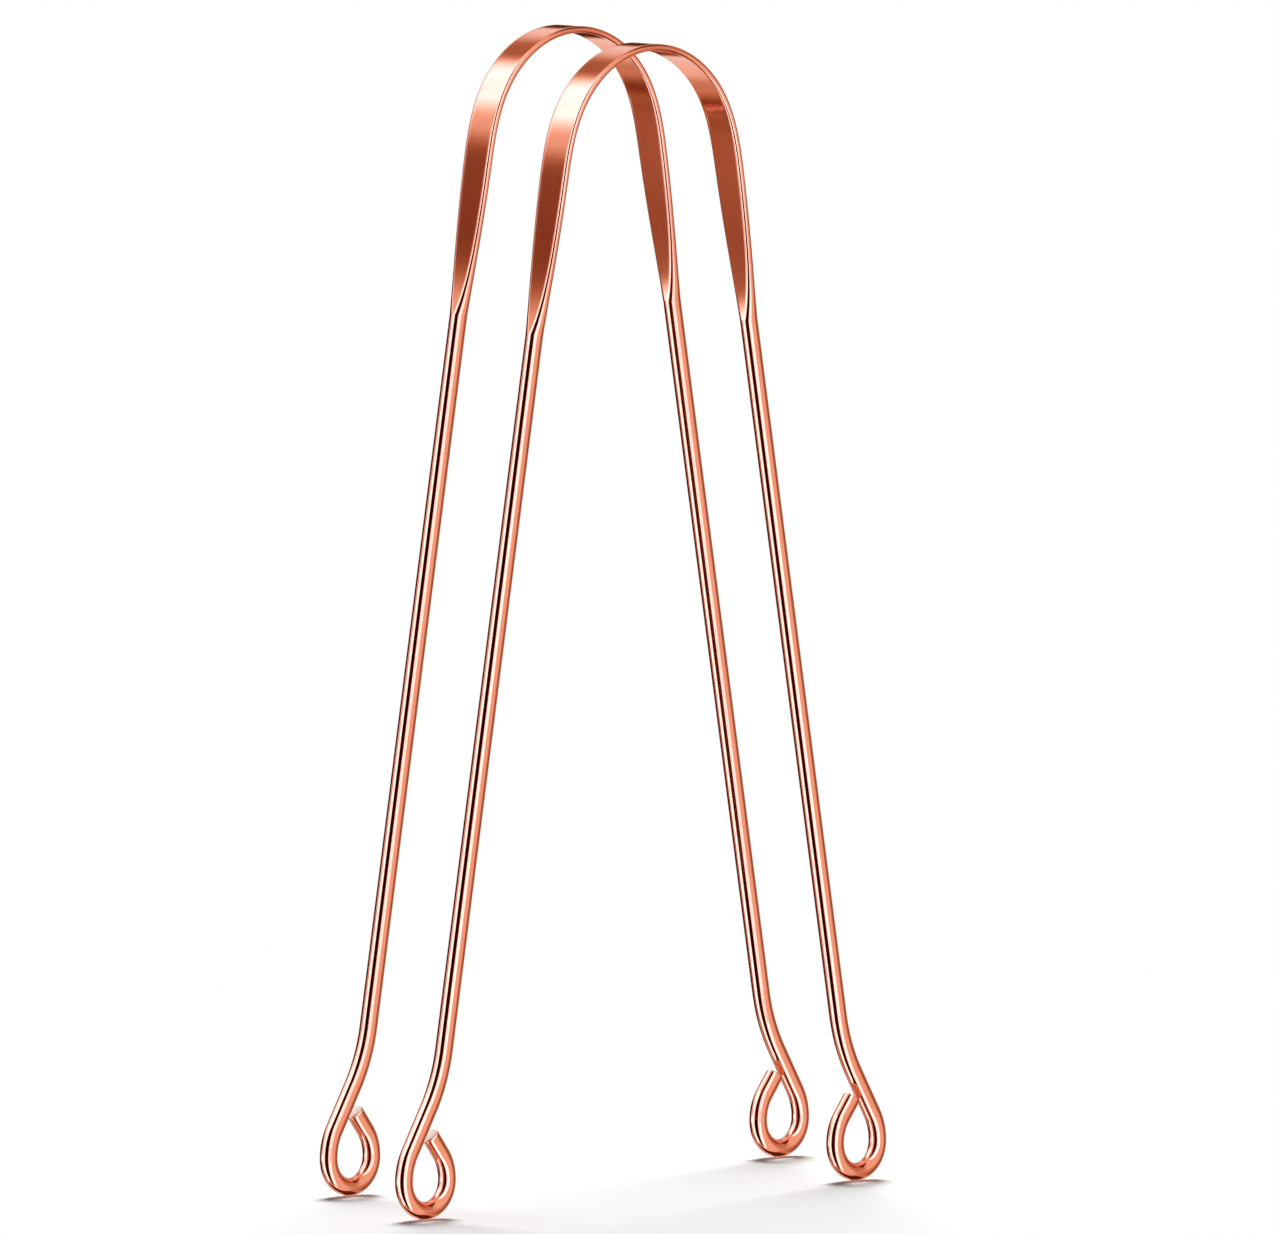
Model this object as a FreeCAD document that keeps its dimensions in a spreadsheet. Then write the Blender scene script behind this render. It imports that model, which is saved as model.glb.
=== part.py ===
import FreeCAD, Part
import math
import os
import Sketcher

# A set of two tongue scrapers, each bent and pressed from one length of round copper wire.
# Frame: +Z up, the wire of each scraper lies in an XZ plane, and the loops stand on Z = 0.
# Each body is drawn about the middle of its bow: the half at +X first, then its mirror image.

# Lengths in millimetres and angles in degrees
SIZES = {
    "wire_diameter": 2.3,
    "blade_thickness": 0.88,
    "bow_radius": 15.6,
    "leg_angle": 10.2,
    "taper_length": 24.2,
    "runout_angle": 12,
    "leg_length": 92.5,
    "kink_radius": 22,
    "kink_angle": 21.3,
    "shank_length": 6.4,
    "shoulder_radius": 7,
    "loop_radius": 3.9,
    "return_radius": 5.5,
    "return_angle": 38,
    "tail_length": 3.1,
    "tail_chamfer": 0.2,
    "pair_spacing": 31,
    "pair_stagger": 17,
}

# Sections of the pressed taper: how far down it they lie, and how far the thickness has grown
# from the blade's to the wire's. The flats stay wide at first and run out in a short ramp.
TAPER_SHARES = [(0, 0), (0.4, 0.05), (0.66, 0.19), (0.84, 0.42), (0.95, 0.73)]

START, END, CENTRE = 1, 2, 3
X_AXIS, ORIGIN = -1, 1

document = FreeCAD.newDocument("tongue_scrapers")
sheet = document.addObject("Spreadsheet::Sheet", "sizes")
for row, (alias, value) in enumerate(SIZES.items(), start=1):
    sheet.set(f"A{row}", alias)
    sheet.set(f"B{row}", str(value))
    sheet.setAlias(f"B{row}", alias)
document.recompute()


def size(alias):
    """The number in a cell of the sheet."""
    return float(sheet.get(alias))


def origin_feature(body, role):
    """A plane or an axis of the body's own origin."""
    return next(item for item in body.Origin.OriginFeatures if item.Role == role)


def new_sketch(body, name, role):
    """A sketch on one of the body's origin planes."""
    sketch = body.newObject("Sketcher::SketchObject", f"{body.Name}_{name}")
    sketch.AttachmentSupport = [(origin_feature(body, role), "")]
    sketch.MapMode = "FlatFace"
    return sketch


def constrain(sketch, name, expression, *arguments):
    """Add a named size to a sketch and bind it to the sheet."""
    index = sketch.addConstraint(Sketcher.Constraint(*arguments))
    sketch.renameConstraint(index, name)
    sketch.setExpression(f"Constraints.{name}", expression)


def section_sketch(body, name, place_share):
    """An empty sketch square to the leg, at a share of the taper below the end of the bow.

    Its first axis points away from the middle of the scraper and its second along Y.
    """
    sketch = new_sketch(body, name, "XY_Plane")
    turn = FreeCAD.Rotation(FreeCAD.Vector(0, -1, 0), size("leg_angle"))
    sketch.AttachmentOffset = FreeCAD.Placement(FreeCAD.Vector(), turn)
    down = f"{place_share} * sizes.taper_length"
    across = f"sizes.bow_radius * cos(sizes.leg_angle) + {down} * sin(sizes.leg_angle)"
    height = f"sizes.bow_radius * sin(sizes.leg_angle) - {down} * cos(sizes.leg_angle)"
    sketch.setExpression("AttachmentOffset.Base.x", across)
    sketch.setExpression("AttachmentOffset.Base.z", height)
    sketch.setExpression("AttachmentOffset.Rotation.Angle", "sizes.leg_angle")
    return sketch


def pressed_section(body, name, place_share, growth_share):
    """The pressed wire: two flats joined by half rounds, with the area of the round wire."""
    sketch = section_sketch(body, name, place_share)
    wire = size("wire_diameter")
    thick = size("blade_thickness") * (1 - growth_share) + wire * growth_share
    flat = math.pi * (wire**2 - thick**2) / (4 * thick)
    corners = [FreeCAD.Vector(x * thick / 2, y * flat / 2) for x, y in ((1, -1), (1, 1), (-1, 1), (-1, -1))]
    axis = FreeCAD.Vector(0, 0, 1)
    back_round = Part.Circle(FreeCAD.Vector(0, flat / 2), axis, thick / 2)
    front_round = Part.Circle(FreeCAD.Vector(0, -flat / 2), axis, thick / 2)
    outer = sketch.addGeometry(Part.LineSegment(corners[0], corners[1]))
    back = sketch.addGeometry(Part.ArcOfCircle(back_round, 0, math.pi))
    inner = sketch.addGeometry(Part.LineSegment(corners[2], corners[3]))
    front = sketch.addGeometry(Part.ArcOfCircle(front_round, math.pi, 2 * math.pi))
    ring = [outer, back, inner, front]
    for edge, following in zip(ring, ring[1:] + ring[:1]):
        sketch.addConstraint(Sketcher.Constraint("Tangent", edge, END, following, START))
    sketch.addConstraint(Sketcher.Constraint("Vertical", outer))
    sketch.addConstraint(Sketcher.Constraint("Equal", back, front))
    sketch.addConstraint(Sketcher.Constraint("Symmetric", back, CENTRE, front, CENTRE, X_AXIS, ORIGIN))
    grown = f"(sizes.blade_thickness * (1 - {growth_share}) + sizes.wire_diameter * {growth_share})"
    kept_area = f"pi * (sizes.wire_diameter ^ 2 - {grown} ^ 2) / (4 * {grown})"
    constrain(sketch, "edge_radius", f"{grown} / 2", "Radius", back, thick / 2)
    constrain(sketch, "flat_width", kept_area, "Distance", outer, flat)
    return sketch


def runout_section(body):
    """The round end of the taper, in four arcs: the flats end on the two short ones."""
    sketch = section_sketch(body, "runout_section", 1)
    radius = size("wire_diameter") / 2
    half_tip = math.radians(size("runout_angle") / 2)
    circle = Part.Circle(FreeCAD.Vector(), FreeCAD.Vector(0, 0, 1), radius)
    turns = [-half_tip, half_tip, math.pi - half_tip, math.pi + half_tip, 2 * math.pi - half_tip]
    ring = [
        sketch.addGeometry(Part.ArcOfCircle(circle, first, last))
        for first, last in zip(turns, turns[1:])
    ]
    outer, back, inner, front = ring
    for edge, following in zip(ring, ring[1:] + ring[:1]):
        sketch.addConstraint(Sketcher.Constraint("Coincident", edge, END, following, START))
    for edge in (outer, back, inner):
        sketch.addConstraint(Sketcher.Constraint("Coincident", edge, CENTRE, X_AXIS, ORIGIN))
    sketch.addConstraint(Sketcher.Constraint("PointOnObject", front, CENTRE, X_AXIS))
    sketch.addConstraint(Sketcher.Constraint("Vertical", outer, START, outer, END))
    sketch.addConstraint(Sketcher.Constraint("Vertical", inner, START, inner, END))
    sketch.addConstraint(Sketcher.Constraint("Horizontal", back, START, back, END))
    constrain(sketch, "wire_radius", "sizes.wire_diameter / 2", "Radius", back, radius)
    constrain(sketch, "runout_angle", "sizes.runout_angle", "Angle", outer, 2 * half_tip)
    return sketch


def wire_section(body):
    """The round wire, from where the taper ends."""
    sketch = section_sketch(body, "wire_section", 1)
    radius = size("wire_diameter") / 2
    rim = sketch.addGeometry(Part.Circle(FreeCAD.Vector(), FreeCAD.Vector(0, 0, 1), radius))
    sketch.addConstraint(Sketcher.Constraint("Coincident", rim, CENTRE, X_AXIS, ORIGIN))
    constrain(sketch, "wire_radius", "sizes.wire_diameter / 2", "Radius", rim, radius)
    return sketch


class WirePath:
    """The middle line of the round wire: lines and arcs laid end to end, each tangent to the last."""

    def __init__(self, sketch, start, heading):
        self.sketch = sketch
        self.point = start
        self.heading = heading
        self.last = None

    def direction(self, turn=0):
        angle = math.radians(self.heading + turn)
        return FreeCAD.Vector(math.cos(angle), math.sin(angle))

    def join(self, edge, start, end):
        if self.last:
            self.sketch.addConstraint(Sketcher.Constraint("Tangent", *self.last, edge, start))
        self.last = (edge, end)

    def line(self, alias):
        """Go straight on for a length in the sheet."""
        target = self.point + self.direction() * size(alias)
        edge = self.sketch.addGeometry(Part.LineSegment(self.point, target))
        self.join(edge, START, END)
        constrain(self.sketch, alias, f"sizes.{alias}", "Distance", edge, size(alias))
        self.point = target
        return edge

    def bend(self, name, radius_alias, sweep_expression, sweep, side):
        """Turn through an angle about a radius in the sheet, to the left (1) or the right (-1)."""
        radius = size(radius_alias)
        centre = self.point + self.direction(90 * side) * radius
        first = math.radians(self.heading - 90 * side)
        last = first + side * math.radians(sweep)
        circle = Part.Circle(centre, FreeCAD.Vector(0, 0, 1), radius)
        edge = self.sketch.addGeometry(Part.ArcOfCircle(circle, min(first, last), max(first, last)))
        self.join(edge, *((START, END) if side > 0 else (END, START)))
        constrain(self.sketch, f"{name}_radius", f"sizes.{radius_alias}", "Radius", edge, radius)
        constrain(self.sketch, f"{name}_sweep", sweep_expression, "Angle", edge, math.radians(sweep))
        self.heading += side * sweep
        self.point = centre - self.direction(90 * side) * radius
        return edge


def wire_path(body):
    """The leg, its outward kink and the finger loop, down to the cut end."""
    sketch = new_sketch(body, "wire_path", "XZ_Plane")
    lean = math.radians(size("leg_angle"))
    bow, taper = size("bow_radius"), size("taper_length")
    across = bow * math.cos(lean) + taper * math.sin(lean)
    drop = taper * math.cos(lean) - bow * math.sin(lean)
    path = WirePath(sketch, FreeCAD.Vector(across, -drop), size("leg_angle") - 90)
    splay = "sizes.leg_angle + sizes.kink_angle"

    leg = path.line("leg_length")
    path.bend("kink", "kink_radius", "sizes.kink_angle", size("kink_angle"), 1)
    path.line("shank_length")
    path.bend("shoulder", "shoulder_radius", splay, size("leg_angle") + size("kink_angle"), -1)
    loop = path.bend("loop", "loop_radius", "180", 180, -1)
    path.bend("return", "return_radius", "sizes.return_angle", size("return_angle"), -1)
    path.line("tail_length")

    across_text = "sizes.bow_radius * cos(sizes.leg_angle) + sizes.taper_length * sin(sizes.leg_angle)"
    drop_text = "sizes.taper_length * cos(sizes.leg_angle) - sizes.bow_radius * sin(sizes.leg_angle)"
    constrain(sketch, "leg_across", across_text, "DistanceX", X_AXIS, ORIGIN, leg, START, across)
    constrain(sketch, "leg_drop", drop_text, "DistanceY", leg, START, X_AXIS, ORIGIN, drop)
    constrain(sketch, "leg_heading", "sizes.leg_angle - 90", "Angle", leg, lean - math.pi / 2)

    # A line from the middle of the loop to the floor under it measures how high the bow stands.
    middle = sketch.getPoint(loop, CENTRE)
    reach = size("loop_radius") + size("wire_diameter") / 2
    foot = sketch.addGeometry(Part.LineSegment(middle, middle - FreeCAD.Vector(0, reach)), True)
    sketch.addConstraint(Sketcher.Constraint("Coincident", foot, START, loop, CENTRE))
    sketch.addConstraint(Sketcher.Constraint("Vertical", foot))
    reach_text = "sizes.loop_radius + sizes.wire_diameter / 2"
    constrain(sketch, "floor_reach", reach_text, "Distance", foot, reach)
    measured = Sketcher.Constraint("DistanceY", foot, END, X_AXIS, ORIGIN, reach - middle.y)
    index = sketch.addConstraint(measured)
    sketch.setDriving(index, False)
    sketch.renameConstraint(index, "bow_height")
    return sketch, path.point


def make_scraper(label, side):
    """One scraper, ahead of the middle of the set (-1) or behind it (1)."""
    body = document.addObject("PartDesign::Body", label)
    sections = [
        pressed_section(body, f"pressed_section_{number}", *shares)
        for number, shares in enumerate(TAPER_SHARES)
    ]
    sections.append(runout_section(body))
    round_wire = wire_section(body)
    path, tail_point = wire_path(body)
    document.recompute()

    bow = body.newObject("PartDesign::Revolution", f"{label}_bow")
    bow.Profile = sections[0]
    bow.ReferenceAxis = (origin_feature(body, "Y_Axis"), [""])
    bow.setExpression("Angle", "90 - sizes.leg_angle")
    bow.Reversed = True

    taper = body.newObject("PartDesign::AdditiveLoft", f"{label}_taper")
    taper.Profile = sections[0]
    taper.Sections = sections[1:]
    taper.Ruled = True

    wire = body.newObject("PartDesign::AdditivePipe", f"{label}_wire")
    wire.Profile = round_wire
    wire.Spine = path
    document.recompute()

    tail = path.Placement.multVec(tail_point)
    rims = [
        f"Edge{number}"
        for number, edge in enumerate(wire.Shape.Edges, start=1)
        if edge.CenterOfMass.distanceToPoint(tail) < size("tail_chamfer")
    ]
    eased = body.newObject("PartDesign::Chamfer", f"{label}_tail")
    eased.Base = (wire, rims)
    eased.setExpression("Size", "sizes.tail_chamfer")
    document.recompute()

    whole = body.newObject("PartDesign::Mirrored", f"{label}_whole")
    whole.TransformMode = "Whole shape"
    whole.MirrorPlane = (origin_feature(body, "YZ_Plane"), [""])
    body.Tip = whole

    body.setExpression("Placement.Base.x", f"{side} * sizes.pair_stagger / 2")
    body.setExpression("Placement.Base.y", f"{side} * sizes.pair_spacing / 2")
    body.setExpression("Placement.Base.z", f"{path.Name}.Constraints.bow_height")
    return body


scrapers = [make_scraper("front_scraper", -1), make_scraper("rear_scraper", 1)]
document.recompute()

for item in document.Objects:
    if "Invalid" in item.State or "Error" in item.State:
        raise RuntimeError(f"{item.Label} did not build: {item.State}")

os.makedirs("parts", exist_ok=True)
for scraper in scrapers:
    shape = scraper.Shape
    if shape.isNull() or not shape.isValid() or len(shape.Solids) != 1:
        raise RuntimeError(f"{scraper.Label} is not one valid solid")
    shape.exportStep(f"parts/{scraper.Label}.step")
    print(f"{scraper.Label}: {shape.Volume:.0f} mm3 in {len(shape.Faces)} faces")
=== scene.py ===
"""Two polished copper tongue scrapers, bent from pressed wire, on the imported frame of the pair."""

import math
from typing import NamedTuple

import bpy
import numpy as np
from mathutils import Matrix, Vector


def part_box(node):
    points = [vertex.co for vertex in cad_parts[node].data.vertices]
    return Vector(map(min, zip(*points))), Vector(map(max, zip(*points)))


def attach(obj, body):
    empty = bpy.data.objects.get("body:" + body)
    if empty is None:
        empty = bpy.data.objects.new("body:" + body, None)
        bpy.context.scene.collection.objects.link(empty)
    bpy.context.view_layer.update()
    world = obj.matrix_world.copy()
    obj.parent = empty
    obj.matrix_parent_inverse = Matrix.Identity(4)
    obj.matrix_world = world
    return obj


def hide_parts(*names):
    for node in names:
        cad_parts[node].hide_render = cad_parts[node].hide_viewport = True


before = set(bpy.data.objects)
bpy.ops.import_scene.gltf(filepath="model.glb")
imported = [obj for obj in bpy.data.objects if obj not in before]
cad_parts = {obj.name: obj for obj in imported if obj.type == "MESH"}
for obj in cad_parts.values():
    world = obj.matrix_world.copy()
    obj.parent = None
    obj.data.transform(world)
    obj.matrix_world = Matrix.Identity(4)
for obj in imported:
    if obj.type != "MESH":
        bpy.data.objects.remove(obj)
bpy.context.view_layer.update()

bl_info = {
    "name": "Copper tongue scrapers",
    "version": (1, 0, 0),
    "blender": (4, 5, 0),
    "location": "3D View > Sidebar > Scrapers",
    "description": "Bends a pair of copper tongue scrapers and sets them on a white studio floor",
    "category": "Add Mesh",
}

# The CAD node that each scraper stands for, and the body that carries it
SCRAPER_BODIES = {"front_scraper": "front", "rear_scraper": "rear"}
COPPER_SLOT = "polished_copper"

# Steps along each run of a scraper's middle line, from the crown of the bow to the tail
BOW_STEPS = 56
EASE_RUNS = 8
EASE_STEPS = 3
TAPER_STEPS = 56
LEG_STEPS = 48
KINK_STEPS = 20
SHANK_STEPS = 6
SHOULDER_STEPS = 24
LOOP_STEPS = 72
RETURN_STEPS = 20
TAIL_STEPS = 6

# Steps round each edge and across each flat of the section, and over the rim of a cut end
EDGE_STEPS = 24
FLAT_STEPS = 10
RIM_STEPS = 8

# Noise of the drawn lines, per metre along the wire and both ways across it
LINE_GRAIN = (60.0, 5000.0, 5000.0)
LINE_DETAIL = 3.0

# Noise of the clouds of tone, per metre, and the levels of it at which a cloud starts and is full
CLOUD_GRAIN = 55.0
CLOUD_DETAIL = 4.0
CLOUD_START = 0.42
CLOUD_FULL = 0.75

# Sockets by which a Mix node takes two colours and gives one
MIX_FIRST, MIX_SECOND, MIX_RESULT = 6, 7, 2


class Card(NamedTuple):
    """A patch of the studio that the copper mirrors: its brightness, its edges and their softness.

    Edges are in degrees: azimuth to the right of the way to the camera, and elevation up from level.
    An edge fades over its softness to either side.
    """

    brightness: float
    left: float
    right: float
    low: float
    high: float
    soft: float


# Each card lies over those before it, and the first over a pale wall
WALL_BRIGHTNESS = 1.0
STUDIO_CARDS = {
    "left soft box": Card(2.0, -107, -52, -60, 52, 5),
    "upper left soft box": Card(2.0, -132, -86, 30, 70, 13),
    "left half-light": Card(0.9, -99, -86, 0, 29, 7),
    "left gap": Card(0.25, -97, -87, 3, 14.5, 4),
    "low left half-light": Card(0.65, -142, -100, -66, -34, 9),
    "low left gap": Card(0.4, -104, -88, -38, -9, 4),
    "lowest left gap": Card(0.22, -118, -86, -48, -32, 8),
    "far left wall": Card(0.1, -190, -108, -25, 17, 4),
    "upper left gap": Card(0.45, -166, -138, 33, 60, 9),
    "black flag": Card(0.015, -50, -4, -80, 80, 4),
    "front soft box": Card(2.0, 2, 36, -80, 80, 7),
    "right wall": Card(0.62, 88, 190, -35, 35, 6),
    "far right wall": Card(0.3, 108, 134, -35, 25, 6),
    "upper right gap": Card(0.08, 98, 162, 34, 68, 7),
    "low right gap": Card(0.12, 92, 190, -95, -40, 6),
    "lowest far gap": Card(0.12, -190, -92, -95, -58, 6),
}
# A dim card is warm and a bright one cool: its red, green and blue are these powers of its brightness
CARD_POWERS = (1.0, 1.7, 2.25)


def length(name, description, default):
    """A length in metres."""
    return bpy.props.FloatProperty(
        name=name, description=description, default=default, min=0.0, unit="LENGTH", precision=5
    )


def angle(name, description, degrees):
    """An angle, given in degrees and kept in radians."""
    return bpy.props.FloatProperty(
        name=name, description=description, default=math.radians(degrees), subtype="ANGLE"
    )


def number(name, description, default, least=0.0):
    """A plain number."""
    return bpy.props.FloatProperty(name=name, description=description, default=default, min=least)


def share(name, description, default):
    """A number from 0 to 1."""
    return bpy.props.FloatProperty(
        name=name, description=description, default=default, min=0.0, max=1.0, subtype="FACTOR"
    )


def colour(name, description, default):
    """A linear colour."""
    return bpy.props.FloatVectorProperty(
        name=name, description=description, default=default, min=0.0, max=1.0, subtype="COLOR"
    )


class ScraperSizes(bpy.types.PropertyGroup):
    """What one scraper is bent to, from the crown of its bow down to a cut end."""

    wire_diameter: length("Wire diameter", "Round wire that the scraper is made of", 0.0023)
    blade_thickness: length("Blade thickness", "Between the flats of the pressed wire", 0.00088)
    blade_width: length("Blade width", "From edge to edge of the pressed wire", 0.00491)
    bow_radius: length("Bow radius", "Middle of the blade round the bow", 0.01525)
    bow_ease: length("Bow ease", "Length over which the bow straightens into a leg", 0.010)
    leg_angle: angle("Leg angle", "Lean of each leg away from upright", 10.2)
    taper_length: length("Taper length", "From the end of the bow to round wire", 0.0242)
    width_power: number(
        "Width power", "Power of the way down the taper that the width falls by", 2.2, 1.0
    )
    thickness_power: number(
        "Thickness power", "Power of the way down the taper that the thickness grows by", 6.0, 1.0
    )
    runout_angle: angle("Run-out angle", "Part of the round wire that a flat ends on", 12)
    leg_length: length("Leg length", "Straight round wire below the taper", 0.0928)
    kink_radius: length("Kink radius", "Bend that splays the foot of a leg", 0.022)
    kink_angle: angle("Kink angle", "Turn of that bend", 21.3)
    shank_length: length("Shank length", "Straight wire between kink and loop", 0.0064)
    shoulder_radius: length("Shoulder radius", "Bend from the shank into the loop", 0.007)
    loop_radius: length("Loop radius", "Half turn at the foot of the loop", 0.0039)
    return_radius: length("Return radius", "Bend that brings the end back to the shank", 0.0055)
    return_angle: angle("Return angle", "Turn of that bend", 38)
    tail_length: length("Tail length", "Straight wire at the cut end", 0.0031)
    tail_rounding: length("Tail rounding", "Rounded rim of the cut end", 0.0002)


class CopperFinish(bpy.types.PropertyGroup):
    """The look of the polished copper."""

    polished: colour("Polished copper", "Clean metal", (0.90, 0.315, 0.19))
    toned: colour("Toned copper", "Metal that has begun to tone", (0.66, 0.19, 0.095))
    # Painted highlight: the cut ends are fresh-cut metal, given a paler copper so that their faces look
    # lit
    fresh_cut_highlight: colour("Fresh copper", "Metal at a cut end", (0.97, 0.72, 0.58))
    cloud_tone: share("Cloud tone", "Most that a cloud tones the metal", 0.2)
    taper_tone: number("Taper tone", "How strongly the metal tones down the taper", 4.0)
    polish_roughness: share("Polish roughness", "Roughness of the clean metal", 0.07)
    tone_roughness: share("Tone roughness", "Added by a full tone", 0.05)
    line_roughness: share("Line roughness", "Added by the fine lines", 0.03)
    edge_roughness: share("Edge roughness", "Added along the edges of the blade", 0.1)
    cut_roughness: share("Cut roughness", "Roughness of a cut end", 0.3)
    line_depth: length("Line depth", "Depth of the fine lines left by drawing the wire", 0.0000012)
    line_strength: share("Line strength", "How strongly those lines tilt the surface", 0.3)


class StudioSetting(bpy.types.PropertyGroup):
    """The floor, the light and the camera."""

    floor_colour: colour("Floor colour", "Matt white floor", (1.0, 1.0, 1.0))
    floor_radius: length("Floor radius", "Where the floor has faded out", 0.4)
    fade_start: share("Fade start", "Share of that radius at which the floor begins to fade", 0.5)
    fill_light: share("Fill light", "Part of the floor's light that comes from all round", 0.12)
    lamp_elevation: angle("Lamp elevation", "Height of the lamp behind the pair", 58)
    lamp_breadth: angle("Lamp breadth", "How wide the lamp looks from the floor", 24)
    camera_azimuth: angle("Camera azimuth", "Turn of the camera round the pair", -45)
    camera_elevation: angle("Camera elevation", "Height of the camera above level", 4.56)
    camera_distance: length("Camera distance", "From the middle of the picture", 6.5)
    picture_width: length("Picture width", "Width of the view at the pair", 0.16505)
    picture_centre: bpy.props.FloatVectorProperty(
        name="Picture centre",
        description="Point that the camera looks at",
        default=(0.00613, 0.0, 0.07391),
        subtype="TRANSLATION",
        unit="LENGTH",
    )


class Shade:
    """An output on a node tree. Arithmetic on it adds Math nodes."""

    def __init__(self, tree, output):
        self.tree = tree
        self.output = output

    @classmethod
    def node(cls, tree, kind, settings=None, inputs=None, output=0):
        """Add a node: its settings first, then the values or links of its sockets."""
        made = tree.nodes.new(kind)
        for name, setting in (settings or {}).items():
            setattr(made, name, setting)
        for socket, value in (inputs or {}).items():
            if isinstance(value, cls):
                tree.links.new(value.output, made.inputs[socket])
            else:
                made.inputs[socket].default_value = value
        return cls(tree, made.outputs[output] if made.outputs else None)

    def math(self, operation, first, second):
        """Add a Math node on two values."""
        return Shade.node(self.tree, "ShaderNodeMath", {"operation": operation}, {0: first, 1: second})

    def __add__(self, other):
        return self.math("ADD", self, other)

    def __sub__(self, other):
        return self.math("SUBTRACT", self, other)

    def __rsub__(self, other):
        return self.math("SUBTRACT", other, self)

    def __mul__(self, other):
        return self.math("MULTIPLY", self, other)

    __radd__ = __add__
    __rmul__ = __mul__


def opaque(rgb):
    """A colour with full alpha."""
    return (*rgb, 1.0)


def smooth_rise(value, start, full, top=1.0):
    """0 up to the start, rising smoothly to the top where the value is full."""
    return Shade.node(
        value.tree,
        "ShaderNodeMapRange",
        {"interpolation_type": "SMOOTHSTEP"},
        {"Value": value, "From Min": start, "From Max": full, "To Max": top},
    )


def mixed(factor, first, second):
    """The first colour where the factor is 0, and the second where it is 1."""
    return Shade.node(
        factor.tree,
        "ShaderNodeMix",
        {"data_type": "RGBA"},
        {"Factor": factor, MIX_FIRST: first, MIX_SECOND: second},
        MIX_RESULT,
    )


def half_bow(sizes):
    """The turn of half the bow, from its crown to a leg, and its length along an arc."""
    turn = math.pi / 2 - sizes.leg_angle
    return turn, sizes.bow_radius * turn


def half_path(sizes):
    """The middle line of half a scraper: distance along, heading, x and z.

    Each run has a length, a turn and its steps. The heading changes evenly along a run, so a run is
    a line or an arc, and a step of length d that turns by a moves d * sin(a / 2) / (a / 2) along its
    mean heading, which is its exact chord. The sum of the steps is the line. Between the bow and a
    leg, short runs turn by falling odd numbers, so that the heading follows a parabola.
    """
    bow_turn, bow_length = half_bow(sizes)
    splay = sizes.leg_angle + sizes.kink_angle
    eased_turn = sizes.bow_ease / sizes.bow_radius / 2
    ease = [
        (sizes.bow_ease / EASE_RUNS, -eased_turn * odd / EASE_RUNS**2, EASE_STEPS)
        for odd in range(2 * EASE_RUNS - 1, 0, -2)
    ]
    runs = [
        (bow_length - sizes.bow_ease / 2, eased_turn - bow_turn, BOW_STEPS),
        *ease,
        (sizes.taper_length - sizes.bow_ease / 2, 0, TAPER_STEPS),
        (sizes.leg_length, 0, LEG_STEPS),
        (sizes.kink_radius * sizes.kink_angle, sizes.kink_angle, KINK_STEPS),
        (sizes.shank_length, 0, SHANK_STEPS),
        (sizes.shoulder_radius * splay, -splay, SHOULDER_STEPS),
        (sizes.loop_radius * math.pi, -math.pi, LOOP_STEPS),
        (sizes.return_radius * sizes.return_angle, -sizes.return_angle, RETURN_STEPS),
        (sizes.tail_length - sizes.tail_rounding, 0, TAIL_STEPS),
    ]
    lengths, turns, counts = zip(*runs)
    corners = np.concatenate([[0.0], np.cumsum(lengths)])
    headings = np.concatenate([[0.0], np.cumsum(turns)])
    stretches = [
        np.linspace(first, last, count, endpoint=False)
        for first, last, count in zip(corners, corners[1:], counts)
    ]
    along = np.concatenate([*stretches, corners[-1:]])
    heading = np.interp(along, corners, headings)
    turned = np.diff(heading)
    chord = np.diff(along) * np.sinc(turned / (2 * math.pi))
    mean_heading = heading[:-1] + turned / 2
    x = np.concatenate([[0.0], np.cumsum(chord * np.cos(mean_heading))])
    z = np.concatenate([[0.0], np.cumsum(chord * np.sin(mean_heading))])
    return along, heading, x, z


def pressed_section(sizes, along):
    """Thickness, width of the flats and how far the wire is pressed, at each distance along.

    Down the taper the width falls from the blade's to the wire's and the thickness grows from the
    blade's to the wire's, each by its own power of the distance.
    """
    wire = sizes.wire_diameter
    _, bow_length = half_bow(sizes)
    down = np.clip((along - bow_length) / sizes.taper_length, 0.0, 1.0)
    fallen = down**sizes.width_power
    grown = down**sizes.thickness_power
    width = sizes.blade_width + (wire - sizes.blade_width) * fallen
    thick = sizes.blade_thickness + (wire - sizes.blade_thickness) * grown
    return thick, width - thick, 1 - fallen


def section_ring():
    """Points round a pressed section, as turn, spread, shift and whether they lie on an edge.

    A point lies at the angle turn + spread * run-out on a round of the wire's thickness, whose
    middle is moved by shift * half the flat. Each flat sweeps the shift from one side to the other.
    """
    across = np.arange(EDGE_STEPS) / EDGE_STEPS
    sweep = 2 * np.arange(FLAT_STEPS) / FLAT_STEPS - 1
    still = np.ones(EDGE_STEPS)
    level = np.ones(FLAT_STEPS)
    turn = math.pi * np.concatenate([across, level, 1 + across, 2 * level])
    spread = np.concatenate([1 - 2 * across, sweep, 1 - 2 * across, sweep])
    shift = np.concatenate([still, -sweep, -still, sweep])
    edge = np.concatenate([still, 0 * level, still, 0 * level])
    return turn, spread, shift, edge


def both_halves(values, sign=1):
    """A half's values and their mirror image, as a column: sign is -1 where the mirror changes it."""
    return np.concatenate([sign * values[:0:-1], values])[:, None]


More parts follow.
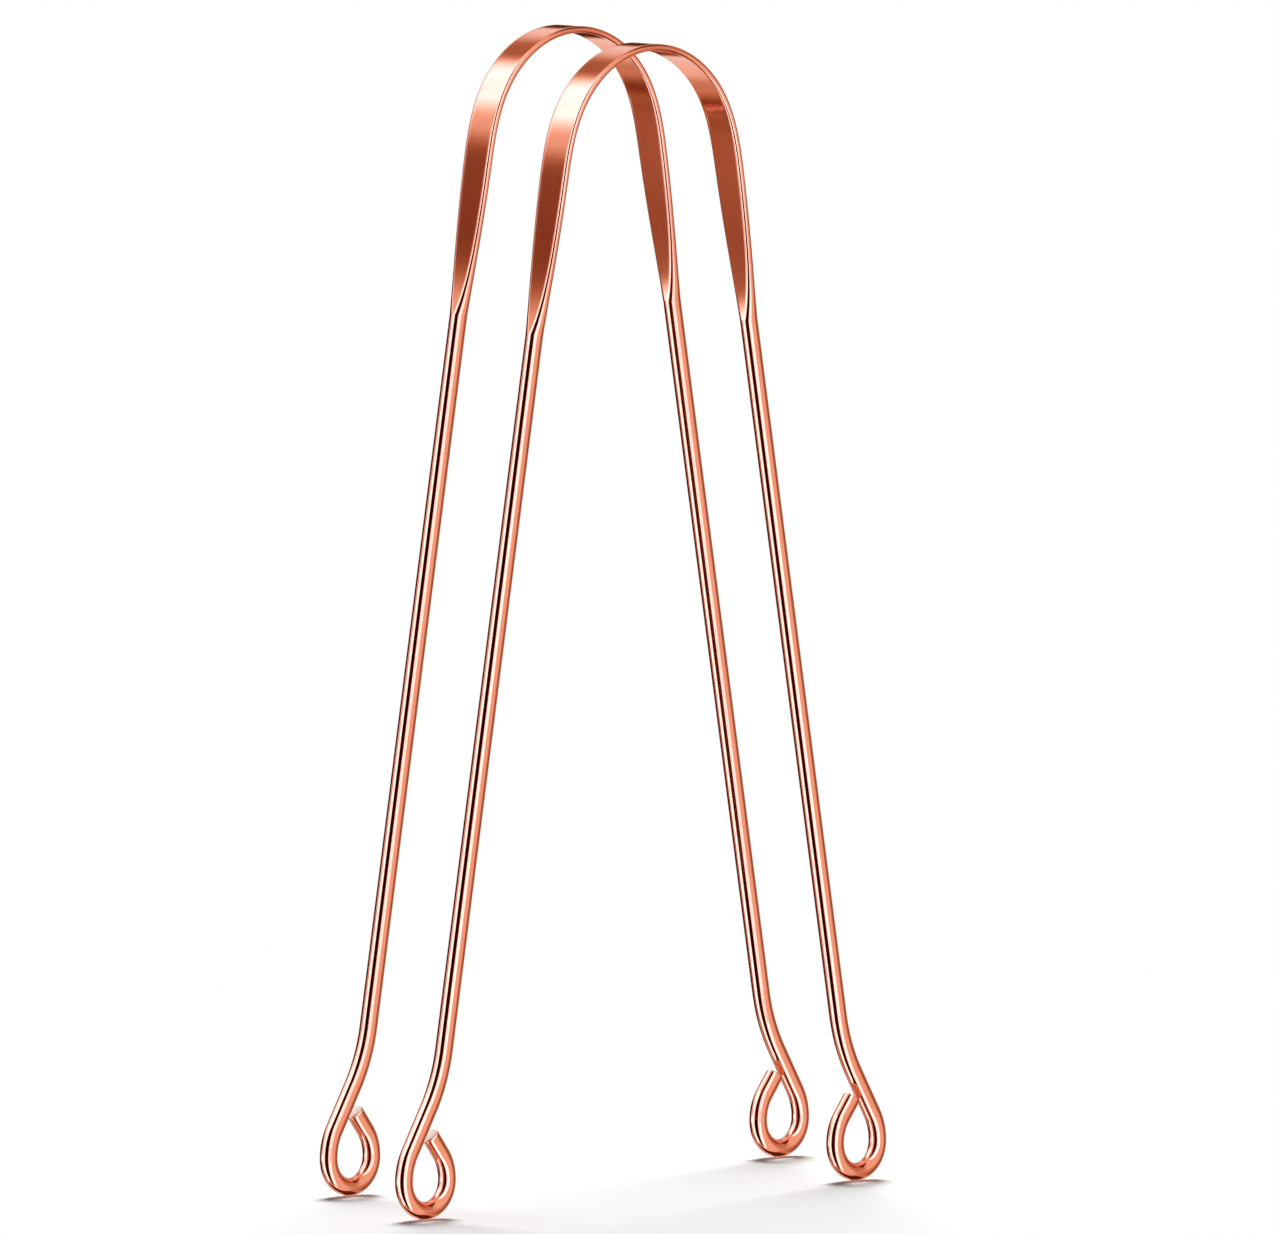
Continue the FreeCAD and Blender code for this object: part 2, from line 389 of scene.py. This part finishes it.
def scraper_surface(sizes):
    """The points of a scraper about the middle of its bow, with what its finish needs to know.

    The pressed section is carried along the middle line, square to it: its first axis points out
    of the bow and its second along Y. At a cut end it shrinks along a quarter circle to a flat face.
    What is drawn is the place along the wire and across it. What is worked is how far the metal is
    pressed, how near it is to a cut face and how far it is pressed on an edge.
    """
    along, heading, x, z = half_path(sizes)
    thick, flat, pressed = pressed_section(sizes, along)

    # The rim of the cut end goes straight on from the last section
    rim = np.linspace(0.0, math.pi / 2, RIM_STEPS + 1)[1:]
    onward = sizes.tail_rounding * np.sin(rim)
    drawn_in = 1 - 2 * sizes.tail_rounding * (1 - np.cos(rim)) / sizes.wire_diameter
    scale = np.concatenate([np.ones(len(along)), drawn_in])
    cut = np.concatenate([np.zeros(len(along)), np.sin(rim)])
    x = np.concatenate([x, x[-1] + onward * np.cos(heading[-1])])
    z = np.concatenate([z, z[-1] + onward * np.sin(heading[-1])])
    along = np.concatenate([along, along[-1] + onward])
    heading, thick, flat, pressed = (
        np.pad(values, (0, RIM_STEPS), mode="edge") for values in (heading, thick, flat, pressed)
    )

    turn, spread, shift, edge = section_ring()
    runout = sizes.runout_angle / 2 * (1 - pressed)
    angles = turn + both_halves(runout) * spread
    reach = both_halves(thick * scale / 2)
    out = reach * np.cos(angles)
    side = reach * np.sin(angles) + both_halves(flat * scale / 2) * shift
    points = np.stack(
        [
            both_halves(x, -1) + both_halves(-np.sin(heading), -1) * out,
            side,
            both_halves(z) + both_halves(np.cos(heading)) * out,
        ],
        axis=-1,
    )
    all_round = np.ones_like(edge)
    pressing = both_halves(pressed)
    drawn = np.stack([both_halves(along, -1) * all_round, out, side], axis=-1)
    worked = np.stack(
        [pressing * all_round, both_halves(cut) * all_round, pressing * edge], axis=-1
    )
    return points, drawn, worked


def wrapped_faces(stations, around):
    """Four-sided faces between neighbouring sections, closed round each one, and the two end faces."""
    index = np.arange(stations * around).reshape(stations, around)
    following = np.roll(index, -1, axis=1)
    sides = np.stack([index[:-1], index[1:], following[1:], following[:-1]], axis=-1)
    return sides.reshape(-1, 4).tolist() + [index[0].tolist(), index[-1, ::-1].tolist()]


def make_scraper(node, sizes, copper):
    """One scraper where its CAD node stands, on the node's own floor."""
    points, drawn, worked = scraper_surface(sizes)
    low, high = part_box(node)
    middle = (low + high) / 2
    points = points + (middle.x, middle.y, low.z - points[..., 2].min())
    name = f"{node}_wire"
    mesh = bpy.data.meshes.new(name)
    mesh.from_pydata(points.reshape(-1, 3), [], wrapped_faces(*points.shape[:2]))
    # The last two faces are the cut ends, which stay flat
    smooth = np.ones(len(mesh.polygons), bool)
    smooth[-2:] = False
    mesh.polygons.foreach_set("use_smooth", smooth)
    for label, values in (("drawn", drawn), ("worked", worked)):
        attribute = mesh.attributes.new(label, "FLOAT_VECTOR", "POINT")
        attribute.data.foreach_set("vector", np.ascontiguousarray(values, np.float32).ravel())
    mesh.materials.append(copper)
    if mesh.validate():
        raise RuntimeError(f"{name} has faces that had to be mended")
    scraper = bpy.data.objects.new(name, mesh)
    bpy.context.scene.collection.objects.link(scraper)
    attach(scraper, SCRAPER_BODIES[node])
    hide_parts(node)


def copper_material(finish):
    """Polished copper, with satin edges on the blade and cut ends painted paler as a highlight.

    Fine lines run along the wire. The metal tones in soft clouds, and down the taper by
    pressed * pressed * (1 - pressed), which is most where the wire is two thirds pressed.
    """
    material = bpy.data.materials.new(COPPER_SLOT)
    material.use_nodes = True
    tree = material.node_tree
    tree.nodes.clear()
    drawn, worked = (
        Shade.node(tree, "ShaderNodeAttribute", {"attribute_name": name}, output="Vector")
        for name in ("drawn", "worked")
    )
    pressed, cut, edge = (
        Shade.node(tree, "ShaderNodeSeparateXYZ", inputs={0: worked}, output=name) for name in "XYZ"
    )
    stretched = Shade.node(
        tree, "ShaderNodeVectorMath", {"operation": "MULTIPLY"}, {0: drawn, 1: LINE_GRAIN}
    )
    lines = Shade.node(
        tree, "ShaderNodeTexNoise", inputs={"Vector": stretched, "Scale": 1.0, "Detail": LINE_DETAIL}
    )
    place = Shade.node(tree, "ShaderNodeTexCoord", output="Object")
    noise = Shade.node(
        tree, "ShaderNodeTexNoise", inputs={"Vector": place, "Scale": CLOUD_GRAIN, "Detail": CLOUD_DETAIL}
    )
    clouds = smooth_rise(noise, CLOUD_START, CLOUD_FULL, finish.cloud_tone)
    toning = clouds + pressed * pressed * (1 - pressed) * finish.taper_tone
    metal = mixed(toning, opaque(finish.polished), opaque(finish.toned))
    # The cut ends take the paler copper, a painted highlight on the fresh-cut metal
    tint = mixed(cut, metal, opaque(finish.fresh_cut_highlight))
    worn = finish.polish_roughness + clouds * finish.tone_roughness + lines * finish.line_roughness
    clean = worn + edge * finish.edge_roughness
    roughness = clean + cut * (finish.cut_roughness - clean)
    bump = Shade.node(
        tree,
        "ShaderNodeBump",
        inputs={
            "Strength": finish.line_strength,
            "Distance": finish.line_depth,
            "Height": lines * (1 - cut),
        },
    )
    copper = Shade.node(
        tree,
        "ShaderNodeBsdfPrincipled",
        inputs={"Base Color": tint, "Metallic": 1.0, "Roughness": roughness, "Normal": bump},
    )
    Shade.node(tree, "ShaderNodeOutputMaterial", inputs={"Surface": copper})
    return material


def compass(azimuth):
    """Level directions towards the camera and to its right, as seen from the camera."""
    towards = Vector((math.sin(azimuth), -math.cos(azimuth), 0.0))
    right = Vector((math.cos(azimuth), math.sin(azimuth), 0.0))
    return towards, right


def band(bearing, first, last, soft):
    """1 between two angles, falling softly to 0 at both."""
    rise, fall = (smooth_rise(bearing, edge - soft, edge + soft) for edge in (first, last))
    return rise - fall


def make_world(studio):
    """White to the camera, even light on the matt floor, and the studio's cards in the copper."""
    world = bpy.data.worlds.new("studio")
    bpy.context.scene.world = world
    world.use_nodes = True
    # Only mirrored rays see the cards, so they aren't sampled as lamps
    world.cycles.sampling_method = "NONE"
    tree = world.node_tree
    tree.nodes.clear()
    outward = Shade.node(tree, "ShaderNodeTexCoord", output="Generated")
    ahead, aside = (
        Shade.node(
            tree, "ShaderNodeVectorMath", {"operation": "DOT_PRODUCT"}, {0: outward, 1: way}, "Value"
        )
        for way in compass(studio.camera_azimuth)
    )
    up = Shade.node(tree, "ShaderNodeSeparateXYZ", inputs={0: outward}, output="Z")
    azimuth = aside.math("ARCTAN2", aside, ahead) * math.degrees(1)
    elevation = up.math("ARCSINE", up, 0) * math.degrees(1)
    mirrored = WALL_BRIGHTNESS
    for card in STUDIO_CARDS.values():
        across = band(azimuth, card.left, card.right, card.soft)
        cover = across * band(elevation, card.low, card.high, card.soft)
        mirrored = mirrored + cover * (card.brightness - mirrored)
    seen = Shade.node(tree, "ShaderNodeLightPath", output="Is Camera Ray")
    glossy = Shade.node(tree, "ShaderNodeLightPath", output="Is Glossy Ray")
    fill = studio.fill_light
    plain = fill + seen * (1 - fill)
    channels = {
        channel: plain + glossy * (mirrored.math("POWER", mirrored, power) - fill)
        for channel, power in enumerate(CARD_POWERS)
    }
    tint = Shade.node(tree, "ShaderNodeCombineColor", inputs=channels)
    light = Shade.node(tree, "ShaderNodeBackground", inputs={"Color": tint, "Strength": 1.0})
    Shade.node(tree, "ShaderNodeOutputWorld", inputs={"Surface": light})


def make_lamp(studio):
    """A broad soft lamp, high behind the pair, that makes the rest of the floor's light."""
    lamp = bpy.data.lights.new("back_lamp", "SUN")
    lamp.angle = studio.lamp_breadth
    lamp.energy = (1 - studio.fill_light) * math.pi / math.sin(studio.lamp_elevation)
    source = bpy.data.objects.new("back_lamp", lamp)
    source.visible_glossy = False
    bpy.context.scene.collection.objects.link(source)
    towards, _ = compass(studio.camera_azimuth)
    fall = towards * math.cos(studio.lamp_elevation)
    fall.z = -math.sin(studio.lamp_elevation)
    source.rotation_euler = fall.to_track_quat("-Z", "Y").to_euler()


def make_floor(studio):
    """A matt white floor that fades out in a circle, so that it shows no horizon."""
    reach = studio.floor_radius
    corners = [(-reach, -reach, 0), (reach, -reach, 0), (reach, reach, 0), (-reach, reach, 0)]
    mesh = bpy.data.meshes.new("floor")
    mesh.from_pydata(corners, [], [(0, 1, 2, 3)])
    material = bpy.data.materials.new("floor_white")
    material.use_nodes = True
    tree = material.node_tree
    tree.nodes.clear()
    place = Shade.node(tree, "ShaderNodeTexCoord", output="Object")
    distance = Shade.node(
        tree, "ShaderNodeVectorMath", {"operation": "LENGTH"}, {0: place}, output="Value"
    )
    fade = smooth_rise(distance, reach * studio.fade_start, reach)
    white = Shade.node(tree, "ShaderNodeBsdfDiffuse", inputs={"Color": opaque(studio.floor_colour)})
    clear = Shade.node(tree, "ShaderNodeBsdfTransparent")
    surface = Shade.node(tree, "ShaderNodeMixShader", inputs={0: fade, 1: white, 2: clear})
    Shade.node(tree, "ShaderNodeOutputMaterial", inputs={"Surface": surface})
    mesh.materials.append(material)
    floor = bpy.data.objects.new("floor", mesh)
    # The copper mirrors the studio's low cards in place of the floor
    floor.visible_glossy = False
    bpy.context.scene.collection.objects.link(floor)


def make_camera(studio):
    """A long lens at the photograph's angle."""
    lens = bpy.data.cameras.new("camera")
    lens.sensor_fit = "HORIZONTAL"
    lens.lens = lens.sensor_width * studio.camera_distance / studio.picture_width
    camera = bpy.data.objects.new("camera", lens)
    bpy.context.scene.collection.objects.link(camera)
    towards, _ = compass(studio.camera_azimuth)
    back = towards * math.cos(studio.camera_elevation)
    back.z = math.sin(studio.camera_elevation)
    camera.location = Vector(studio.picture_centre) + back * studio.camera_distance
    camera.rotation_euler = (-back).to_track_quat("-Z", "Y").to_euler()
    bpy.context.scene.camera = camera


class SCRAPERS_OT_bend_wire(bpy.types.Operator):
    """Bend both scrapers from copper wire where their CAD nodes stand"""

    bl_idname = "scrapers.bend_wire"
    bl_label = "Bend the scrapers"

    def execute(self, context):
        copper = copper_material(context.scene.copper_finish)
        for node in SCRAPER_BODIES:
            make_scraper(node, context.scene.scraper_sizes, copper)
        return {"FINISHED"}


class SCRAPERS_OT_set_stage(bpy.types.Operator):
    """Set the white floor, the studio light and the camera"""

    bl_idname = "scrapers.set_stage"
    bl_label = "Set the stage"

    def execute(self, context):
        studio = context.scene.studio_setting
        make_floor(studio)
        make_world(studio)
        make_lamp(studio)
        make_camera(studio)
        context.scene.view_settings.view_transform = "Standard"
        return {"FINISHED"}


class SCRAPERS_PT_sidebar(bpy.types.Panel):
    """The scrapers' sizes, finish and stage"""

    bl_label = "Tongue scrapers"
    bl_space_type = "VIEW_3D"
    bl_region_type = "UI"
    bl_category = "Scrapers"

    def draw(self, context):
        groups = (
            (context.scene.scraper_sizes, None),
            (context.scene.copper_finish, SCRAPERS_OT_bend_wire.bl_idname),
            (context.scene.studio_setting, SCRAPERS_OT_set_stage.bl_idname),
        )
        for group, operator in groups:
            box = self.layout.box()
            for name in group.__annotations__:
                box.prop(group, name)
            if operator:
                box.operator(operator)


CLASSES = (
    ScraperSizes,
    CopperFinish,
    StudioSetting,
    SCRAPERS_OT_bend_wire,
    SCRAPERS_OT_set_stage,
    SCRAPERS_PT_sidebar,
)


def register():
    for item in CLASSES:
        bpy.utils.register_class(item)
    bpy.types.Scene.scraper_sizes = bpy.props.PointerProperty(type=ScraperSizes)
    bpy.types.Scene.copper_finish = bpy.props.PointerProperty(type=CopperFinish)
    bpy.types.Scene.studio_setting = bpy.props.PointerProperty(type=StudioSetting)


def unregister():
    del bpy.types.Scene.studio_setting
    del bpy.types.Scene.copper_finish
    del bpy.types.Scene.scraper_sizes
    for item in reversed(CLASSES):
        bpy.utils.unregister_class(item)


def main():
    register()
    bpy.ops.scrapers.bend_wire()
    bpy.ops.scrapers.set_stage()


if __name__ == "__main__":
    main()
